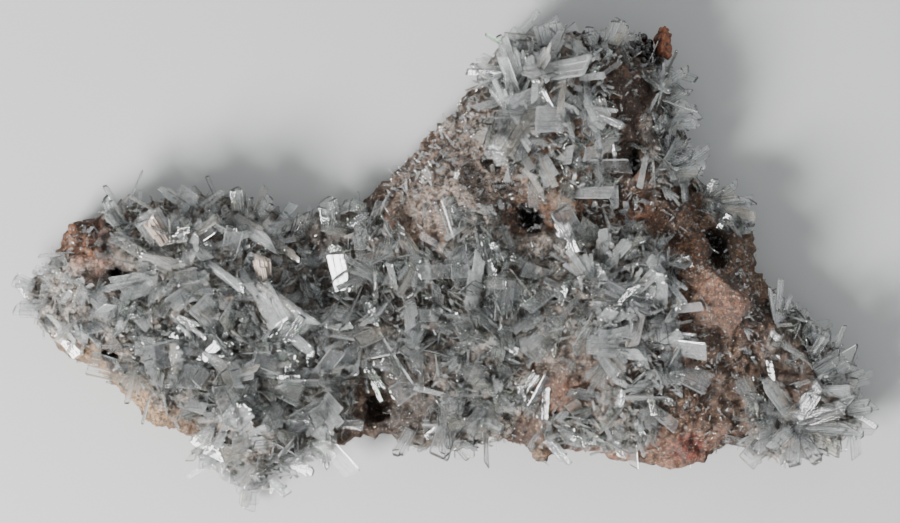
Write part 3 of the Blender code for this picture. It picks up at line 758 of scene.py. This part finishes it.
def barite_finish(name, tints, frost, streaks, absorption, veiled, **plain):
    """Barite of one clarity. Each crystal has its own tint and frosting, and fine growth lines."""
    made, shader = surface(name, IOR=BARITE_IOR, **plain)
    tree = made.node_tree
    own = node(tree, "ShaderNodeAttribute", attribute_name="own_tone").outputs["Fac"]
    part = node(tree, "ShaderNodeAttribute", attribute_name="tone").outputs["Fac"]
    both = node(
        tree, "ShaderNodeMath", {0: times(tree, own, TONE_STEP), 1: part}, operation="ADD"
    ).outputs[0]
    tone = node(tree, "ShaderNodeMath", {0: both}, operation="FRACT").outputs[0]
    frosting = times(tree, tone, FROST_STEP)
    frosting = node(tree, "ShaderNodeMath", {0: frosting}, operation="FRACT").outputs[0]
    tree.links.new(spread(tree, frosting, 0.6, 1.0, *frost), shader.inputs["Roughness"])
    across = node(tree, "ShaderNodeAttribute", attribute_name="across").outputs["Fac"]
    line_place = node(
        tree,
        "ShaderNodeMath",
        {0: tone, 1: LINE_SHIFT, 2: times(tree, across, LINES_ACROSS)},
        operation="MULTIPLY_ADD",
    ).outputs[0]
    lines = node(
        tree,
        "ShaderNodeTexNoise",
        {"W": line_place, "Scale": 1.6, "Detail": 2.0},
        noise_dimensions="1D",
    ).outputs[0]
    bumped(tree, shader, lines, LINE_DEPTH, 0.6)
    if veiled:
        veils = cloud(tree, place_in_mm(tree), VEIL_SIZE, 3.0, 0.7)
        streak = spread(tree, times(tree, lines, veils), 0.16, 0.34, *streaks)
    else:
        streak = spread(tree, lines, 0.38, 0.62, *streaks)
    colour = blend(tree, 1.0, ramp(tree, tone, tints), streak, "MULTIPLY")
    tree.links.new(colour, shader.inputs["Base Color"])
    colour, density = absorption
    inside = node(tree, "ShaderNodeVolumeAbsorption", {"Color": colour, "Density": density})
    tree.links.new(inside.outputs[0], tree.nodes["Material Output"].inputs["Volume"])
    return made


clear_barite = barite_finish(
    "clear_barite",
    tints=CLEAR_TINTS,
    frost=(0.015, 0.10),
    streaks=(0.92, 1.06),
    absorption=(BARITE_GREEN, 30.0),
    veiled=False,
    Transmission_Weight=0.99,
)
milky_barite = barite_finish(
    "milky_barite",
    tints=MILKY_TINTS,
    frost=(0.05, 0.24),
    streaks=(0.82, 1.12),
    absorption=(MILK_GREEN, 30.0),
    veiled=True,
    Transmission_Weight=0.91,
)


# The long crystals of barite that stand out of the crusts. Each grew as four thin blades side by
# side from one root on the rock, in the place of the solid's blade and as long. Most are clear
# or milky, and two are stained tan.
PLAN_SHIFT_Y = 1.3
ROOT_ABOVE_ROCK = 1.5
BLADE_SHIFTS = (0.0, -0.27, 0.25)  # shares of the growth's width; the fourth blade's varies
BLADE_RISES = (0.0, -0.22, -0.16, 0.3)  # shares of its thickness
BLADE_WIDTHS = (0.72, 0.46, 0.48, 0.34)
BLADE_THICKNESSES = (0.75, 0.60, 0.55, 0.50)

# Root x and y, heading and tilt in degrees, length, width, thickness and roll, then C where it
# is clear, M where it is milky and T where it is stained tan.
LONG_CRYSTALS = {
    "main_druse": (
        (-50.5, -6.4, -36, 14, 17.5, 5.6, 1.8, 25, "M"),
        (-56.7, 10.4, -30, 18, 13.0, 5.0, 1.6, 15, "M"),
        (-46.1, 4.2, -34, 16, 9.0, 2.4, 1.0, 30, "M"),
        (-46.1, -16.8, -42, 16, 14.5, 3.9, 1.5, 20, "M"),
        (-64.5, -1.7, -36, 18, 12.0, 3.2, 1.3, 30, "M"),
        (-56.1, -2.2, -51, 22, 9.5, 2.8, 1.2, 10, "M"),
        (-18.6, -12.9, 90, 22, 12.5, 2.2, 1.2, 70, "C"),
        (-21.7, 4.5, 95, 30, 7.0, 4.5, 1.8, 0, "C"),
        (7.7, -10.6, 82, 32, 16.0, 4.2, 1.3, 20, "M"),
        (13.3, -16.2, 88, 28, 17.5, 4.5, 1.3, -20, "C"),
        (17.5, 0.0, -105, 26, 11.0, 2.6, 1.1, 40, "C"),
        (45.2, 0.4, 92, 34, 10.0, 4.0, 1.2, 10, "M"),
        (45.5, -13.0, 45, 24, 14.0, 3.4, 1.3, 15, "C"),
        (54.0, -12.6, 56, 24, 10.5, 3.0, 1.2, 20, "C"),
        (53.1, -8.0, -80, 34, 8.5, 8.0, 1.6, 0, "C"),
        (57.5, -15.0, -85, 34, 8.5, 8.0, 1.6, 0, "C"),
        (-49.7, -4.6, 93, 48, 7.5, 5.0, 3.4, 0, "T"),
        (-76.3, 6.2, 119, 42, 8.6, 4.6, 2.8, 0, "T"),
        (-60.0, -44.0, 20, 30, 8.5, 6.0, 1.4, 0, "M"),
        (-104, -20.0, 8, 10, 13.0, 2.4, 1.2, 60, "M"),
        (-113, -13.0, 175, 8, 6.0, 5.0, 1.6, 10, "M"),
        (-114, -7.0, 160, 10, 5.5, 5.0, 1.6, -10, "M"),
        (-55, -63.0, -95, 8, 6.0, 6.0, 1.6, 0, "M"),
        (-49, -60.0, -40, 10, 7.0, 3.6, 1.3, 10, "M"),
        (-44, -55.0, -25, 14, 8.0, 3.4, 1.2, 20, "C"),
        (-64, -55.0, -160, 12, 4.5, 4.5, 1.5, 0, "M"),
        (-35, -49.0, -70, 12, 8.0, 3.0, 1.2, 30, "C"),
        (-58, 15.0, 95, 14, 6.0, 4.0, 1.3, 0, "C"),
        (-72, 14.0, 75, 14, 6.0, 4.5, 1.4, 10, "M"),
        (-90, 12.0, 115, 18, 7.0, 3.0, 1.2, 20, "C"),
        (-52, 12.5, 60, 12, 7.0, 4.0, 1.3, 0, "C"),
        (-41, 8.0, 70, 18, 7.0, 4.5, 1.4, 15, "C"),
        (-31, 10.0, 100, 16, 8.0, 6.0, 1.6, 0, "C"),
        (-26, 10.0, 40, 20, 6.5, 2.6, 1.1, 30, "C"),
        (-9, -47.0, -120, 18, 8.0, 3.8, 1.3, 0, "C"),
        (0, -46.5, -85, 20, 7.0, 4.0, 1.3, 10, "C"),
        (10, -42.0, -25, 26, 9.0, 3.6, 1.3, 0, "C"),
    ),
    "upper_arm_druse": (
        (13.9, 51.5, -19, 14, 18.5, 3.0, 1.3, 60, "M"),
        (18.5, 58.5, -10, 10, 15.0, 11.0, 2.0, 6, "C"),
        (19.5, 31.4, 56, 16, 14.5, 10.5, 2.0, 8, "C"),
        (40.5, 40.0, -84, 22, 14.0, 3.4, 1.3, 65, "C"),
        (30.0, 60.0, 100, 12, 5.5, 8.0, 1.6, 0, "M"),
        (22.0, 59.5, 140, 12, 5.0, 5.0, 1.5, 0, "M"),
        (48.0, 60.0, 70, 14, 6.5, 6.0, 1.5, 0, "C"),
        (41.0, 60.0, 96, 16, 5.0, 4.0, 1.3, 0, "C"),
        (54.0, 58.5, 110, 16, 5.0, 4.0, 1.3, 0, "C"),
        (61.0, 48.5, 38, 16, 8.0, 3.0, 1.1, 10, "C"),
        (61.5, 44.5, 30, 20, 7.5, 2.6, 1.0, 40, "C"),
        (62.0, 41.0, 16, 14, 8.0, 3.4, 1.1, 15, "C"),
        (61.8, 37.5, 4, 14, 8.5, 3.4, 1.1, 5, "M"),
        (62.0, 32.5, -14, 16, 6.0, 3.8, 1.2, 0, "C"),
        (61.5, 28.5, 18, 14, 8.5, 3.8, 1.2, 10, "C"),
        (63.1, 25.0, 2, 12, 7.5, 4.2, 1.2, -10, "C"),
    ),
    "right_flank_fan": (
        (77, 17.0, 30, 12, 7.0, 3.4, 1.2, 0, "C"),
        (77, 15.0, 8, 14, 10.5, 4.0, 1.2, 10, "C"),
        (78, 13.5, -8, 12, 9.0, 4.2, 1.3, -5, "M"),
        (77, 14.0, -48, 18, 8.0, 2.6, 1.2, 60, "C"),
        (80, 12.0, -20, 24, 6.0, 3.6, 1.2, 20, "C"),
        (75, 17.5, 70, 20, 5.0, 3.4, 1.1, 0, "C"),
    ),
    "right_tip_cluster": (
        (100, -44, 20, 22, 15.0, 5.4, 1.5, 10, "C"),
        (100, -45, -2, 18, 16.0, 4.6, 1.3, -12, "C"),
        (100, -46, -28, 18, 13.0, 5.0, 1.4, 0, "C"),
        (99, -46, -62, 18, 11.0, 5.4, 1.4, 10, "C"),
        (98, -46, -98, 16, 10.5, 4.4, 1.3, 0, "C"),
        (97, -45, -135, 18, 9.0, 4.6, 1.3, 10, "C"),
        (97, -42, 128, 24, 13.0, 4.4, 1.3, 20, "M"),
        (100, -42, 62, 26, 12.0, 5.0, 1.4, -25, "C"),
        (104, -32, 30, 18, 11.0, 7.0, 1.6, 0, "C"),
        (102, -27, 60, 24, 9.0, 3.8, 1.3, 30, "C"),
        (112.5, -41, 8, 6, 7.0, 4.4, 1.3, 0, "C"),
        (110.5, -46, -20, 8, 6.0, 4.0, 1.2, 10, "C"),
    ),
}
BARITE_BROWN = (0.86, 0.70, 0.55, 1.0)
STAINED_TINTS = ((0.0, (0.52, 0.40, 0.33, 1.0)), (1.0, (0.62, 0.53, 0.46, 1.0)))
stained_barite = barite_finish(
    "stained_barite",
    tints=STAINED_TINTS,
    frost=(0.2, 0.5),
    streaks=(0.62, 1.15),
    absorption=(BARITE_BROWN, 120.0),
    veiled=True,
    Transmission_Weight=0.35,
)
FINISH_OF = {"C": clear_barite, "M": milky_barite, "T": stained_barite}
rock_tree = BVHTree.FromObject(rock, bpy.context.evaluated_depsgraph_get())


def parallel_growth(shape, rng, crystal):
    """Four thin blades side by side, the first of them full length."""
    x, y, heading, tilt, length, width, thickness, roll = crystal[:8]
    above = Vector((x, y + PLAN_SHIFT_Y, 200.0)) * MM
    ground, normal, _, _ = rock_tree.ray_cast(above, Vector((0, 0, -1)))
    root = ground + normal * ROOT_ABOVE_ROCK * MM
    heading, tilt = math.radians(heading), math.radians(tilt)
    aim = Vector(
        (math.cos(heading) * math.cos(tilt), math.sin(heading) * math.cos(tilt), math.sin(tilt))
    )
    turn = aim.to_track_quat("Z", "Y").to_matrix().to_4x4()
    turn = Matrix.Translation(root) @ turn @ Matrix.Rotation(math.radians(roll), 4, "Z")
    for number in range(4):
        shift = (*BLADE_SHIFTS, rng.uniform(-0.2, 0.2))[number] * width
        rise = BLADE_RISES[number] * thickness
        lengths = (1.0, rng.uniform(0.72, 0.96), rng.uniform(0.66, 0.92), rng.uniform(0.4, 0.7))
        size = (
            width * BLADE_WIDTHS[number],
            thickness * BLADE_THICKNESSES[number],
            length * lengths[number],
        )
        lean = Euler((rng.uniform(-0.02, 0.02), rng.uniform(-0.035, 0.035), 0.0))
        lean = lean.to_matrix().to_4x4()
        tabular_crystal(
            shape,
            turn @ Matrix.Translation(Vector((shift, rise, 0.0)) * MM) @ lean @ Matrix.Scale(MM, 4),
            size,
            rng.uniform(0.05, 0.11),
            rng.uniform(0.5, 0.8),
            rng.uniform(-0.12, 0.12),
            rng.random(),
            RIDGED_SECTION,
        )


for cad_name, crystals in LONG_CRYSTALS.items():
    rng = random.Random(5)
    shape = bmesh.new()
    for crystal in crystals:
        first = len(shape.faces)
        parallel_growth(shape, rng, crystal)
        shape.faces.ensure_lookup_table()
        for face in shape.faces[first:]:
            face.material_index = "CMT".index(crystal[8])
    long_piece = piece_from(shape, cad_name + "_long")
    for finish in FINISH_OF.values():
        long_piece.data.materials.append(finish)
    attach(long_piece, "root")
    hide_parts(cad_name)


# The crusts: each grows on the rock that its solid covers, in three layers. The large blades
# lean well over, the middle ones fill the gaps, and fine ones make the ground sparkle.
CRUST_LAYERS = (
    # name, shapes, spacing, smallest, largest, least lean, greatest lean, roll, seed
    ("large", long_blades, 3.7, 7.0, 13.5, 0.85, 1.42, 0.7, 11),
    ("middle", blades, 2.5, 3.4, 7.0, 0.50, 1.40, 1.1, 23),
    ("fine", small_blades, 1.32, 1.2, 3.0, 0.0, 1.3, 1.6, 37),
)

# Where a crust differs: x, y, radius, growth, share that is milky, size.
CRUST_BASE = (0.9, 0.24, 1.0)
CRUST_SPOTS = (
    (-109, -11, 17, 1.0, 1.00, 0.62),
    (-82, 4, 18, 1.0, 0.42, 1.10),
    (-34, 4, 19, 0.62, 0.03, 0.85),
    (-30, 1, 9, 0.35, 0.02, 0.75),
    (-6, -4, 12, 0.55, 0.03, 1.05),
    (-12, -26, 18, 0.50, 0.03, 1.08),
    (-55, -54, 18, 1.0, 0.80, 0.95),
    (12, -9, 12, 0.60, 0.12, 1.25),
    (52, -14, 17, 1.0, 0.97, 1.10),
    (48, -40, 14, 0.9, 0.45, 0.80),
    (33.5, -31, 13, 0.08, 0.40, 0.70),
    (20, -47, 8, 0.30, 0.30, 0.60),
    (28, -3, 7, 0.55, 0.30, 0.70),
    (24, 46, 20, 0.80, 0.95, 1.30),
    (25, 13, 13, 0.02, 0.30, 0.50),
    (-13, -41, 14, 0.12, 0.10, 0.60),
    (-99, 6, 11, 0.04, 0.30, 0.60),
    (-91, -4, 9, 0.02, 0.30, 0.50),
    (-93, -25.5, 7, 0.04, 0.30, 0.50),
    (-97, -30, 7, 0.08, 0.30, 0.60),
    (-96, -34, 7, 0.10, 0.30, 0.60),
    (-86, -41, 10, 0.05, 0.30, 0.60),
    (-74, -48, 8, 0.05, 0.30, 0.60),
    (-80, 17, 9, 1.0, 0.40, 0.65),
    (-61, 19, 11, 1.0, 0.30, 0.65),
    (-40, 15, 9, 1.0, 0.20, 0.65),
    (52, -54, 8, 1.0, 0.30, 0.60),
    (30, 63, 10, 1.0, 0.25, 0.60),
    (50, 61, 10, 1.0, 0.12, 0.55),
    (13, 56, 8, 1.0, 0.30, 0.65),
    (40, 63, 6, 0.02, 0.10, 0.50),
    (56.5, 59, 5, 0.10, 0.10, 0.50),
    (53, 40, 12, 0.22, 0.20, 0.80),
    (46, 30, 8, 0.6, 0.40, 0.90),
    (66, 40, 10, 0.8, 0.02, 0.90),
    (80, 15, 9, 1.0, 0.10, 1.00),
    (94, -30, 13, 0.35, 0.15, 0.70),
    (106, -47, 12, 0.7, 0.04, 0.70),
)
LOWEST_GROUND = 5.5
FULL_SIZE_HEIGHT = 13.0  # crystals near the rim are shorter
LEAST_SIZE = 0.45
STEEPEST_GROUND = -0.35  # nothing grows where the ground's normal points lower than this
SPOT_PULL = 2.2  # how soon a spot takes over, from its edge inwards


def at_place(base, spots, x, y):
    """The values of a place: those of the base, drawn to those of each spot that it lies in."""
    values = list(base)
    for spot_x, spot_y, radius, *wanted in spots:
        away = math.hypot(x - spot_x, y - spot_y) / radius
        pull = max(0.0, min(1.0, (1.0 - away) * SPOT_PULL))
        values = [value + pull * (goal - value) for value, goal in zip(values, wanted)]
    return values


def ground_of(name, is_ground, base, spots):
    """The rock's faces of one ground, with the growth, milk and size of each place on it."""
    shape = bmesh.new()
    shape.from_mesh(rock.data)
    shape.verts.ensure_lookup_table()
    bare = [
        face
        for face in shape.faces
        if face.calc_center_median().z < LOWEST_GROUND * MM
        or face.normal.z < STEEPEST_GROUND
        or not all(is_ground(vert.index) for vert in face.verts)
    ]
    bmesh.ops.delete(shape, geom=bare, context="FACES")
    layers = [shape.verts.layers.float.new(value) for value in ("growth", "milk", "size")]
    for vert in shape.verts:
        place = vert.co / MM
        values = at_place(base, spots, place.x, place.y - PLAN_SHIFT_Y)
        values[2] *= max(LEAST_SIZE, min(1.0, place.z / FULL_SIZE_HEIGHT))
        for layer, value in zip(layers, values):
            vert[layer] = value
    mesh = bpy.data.meshes.new(name)
    shape.to_mesh(mesh)
    shape.free()
    return mesh


def grown_layers(name, ground, layers, cad_name=None):
    for layer, shapes, spacing, least, most, least_lean, most_lean, roll, seed in layers:
        made = grow(
            f"{name}_{layer}",
            ground,
            shapes=shapes,
            spacing=spacing * MM,
            smallest=least * MM,
            largest=most * MM,
            least_lean=least_lean,
            greatest_lean=most_lean,
            greatest_roll=roll,
            seed=seed,
            clear_finish=clear_barite,
            milky_finish=milky_barite,
        )
        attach(made, "root")
        if cad_name:
            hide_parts(cad_name)


for cad_name in CRUST_NODES:
    ground = ground_of(
        cad_name + "_ground", lambda index: crust_of[index] == cad_name, CRUST_BASE, CRUST_SPOTS
    )
    grown_layers(cad_name, ground, CRUST_LAYERS, cad_name)


# The sugar: fine crystals that dust the rock between the crusts, with a few small blades among
# them. It is thick on the upper slope and thin on the clay, the slab and the cream rim. Its spots
# give x, y, radius, growth, share that is milky and size, as those of the crusts do.
SUGAR_LAYERS = (
    ("fine", small_blades, 1.12, 0.7, 1.9, 0.2, 1.3, 1.6, 41),
    ("sparse", blades, 3.6, 2.0, 4.6, 0.4, 1.35, 1.2, 43),
)
SUGAR_BASE = (0.40, 0.25, 0.9)
SUGAR_SPOTS = (
    (8, 30, 30, 1.0, 0.72, 0.90),
    (-100, 7, 10, 0.60, 0.60, 0.75),
    (68, -28, 16, 0.65, 0.10, 0.9),
    (66, 14, 9, 0.45, 0.35, 0.9),
    (47, 15, 12, 0.95, 0.55, 1.6),
    (77, -11, 8, 0.03, 0.40, 0.6),
    (86, -1, 8, 0.45, 0.30, 0.9),
    (92, -27, 12, 0.55, 0.08, 0.9),
    (-12, -40, 13, 0.25, 0.20, 0.8),
    (-84, -41, 14, 0.06, 0.40, 0.7),
    (33, -30, 9, 0.12, 0.40, 0.8),
    (51, 44, 11, 0.20, 0.08, 0.9),
    (58, -54, 14, 0.15, 0.30, 0.8),
)
sugar_ground = ground_of(
    "sugar_ground", lambda index: not crust_of[index], SUGAR_BASE, SUGAR_SPOTS
)
grown_layers("sugar", sugar_ground, SUGAR_LAYERS)


# The black beads: two patches of goethite, an iron mineral with a glossy black skin of small
# rounded beads, 1 to 2.5 mm across, that sit on the rock along the top of the upper arm.
BEAD_PATCHES = ((40.5, 64.5, 4.0, 34), (56.5, 60.0, 4.5, 34))  # x, y, reach, beads
BEAD_RISE = (0.4, 3.2)
BEAD_RADIUS = (0.6, 1.3)
rng = random.Random(9)
bead_shape = bmesh.new()
for x, y, reach, count in BEAD_PATCHES:
    for _ in range(count):
        away, heading = reach * rng.random() ** 0.5, rng.uniform(0.0, math.tau)
        above = Vector((x + away * math.cos(heading), y + away * math.sin(heading), 200.0)) * MM
        ground = rock_tree.ray_cast(above, Vector((0, 0, -1)))[0]
        if ground is not None and ground.z > LOWEST_GROUND * MM:
            bead_place = Matrix.Translation(ground + Vector((0, 0, rng.uniform(*BEAD_RISE))) * MM)
            bmesh.ops.create_icosphere(
                bead_shape,
                subdivisions=2,
                radius=rng.uniform(*BEAD_RADIUS) * MM,
                matrix=bead_place,
            )
beads = piece_from(bead_shape, "goethite_beads")
goethite, bead_shader = surface("goethite", Roughness=0.22)
tree = goethite.node_tree
bead_colour = ramp(tree, cloud(tree, place_in_mm(tree), 1.2), ((0.4, BLACK), (0.7, DARK_UMBER)))
tree.links.new(bead_colour, bead_shader.inputs["Base Color"])
beads.data.shade_smooth()
beads.data.materials.append(goethite)
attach(beads, "root")


# The scrap of rusty limonite perched on the upper arm's corner, crumbly as the rock is.
CHIP_MESH = 0.45
CHIP_LUMP = (3.0, 0.8)
CHIP_GRAIN = (1.1, 0.7)
CHIP_CELL = (2.0, 0.9)
chip = piece_from(merged_copy(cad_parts["rust_chip"]), "rust_scrap")
refine(chip, CHIP_MESH)
crumble(chip, CHIP_LUMP, CHIP_GRAIN, CHIP_CELL)
rust_finish, rust_shader = surface("rust", Roughness=0.85)
tree = rust_finish.node_tree
place = place_in_mm(tree)
rust_tones = ((0.35, DARK_UMBER), (0.54, DARK_RUST), (0.80, RUST))
rust_colour = ramp(tree, cloud(tree, place, 1.6), rust_tones)
tree.links.new(rust_colour, rust_shader.inputs["Base Color"])
bumped(tree, rust_shader, cloud(tree, place, 0.7, 4.0), 0.3)
chip.data.shade_smooth()
chip.data.materials.append(rust_finish)
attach(chip, "root")
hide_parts("rust_chip")
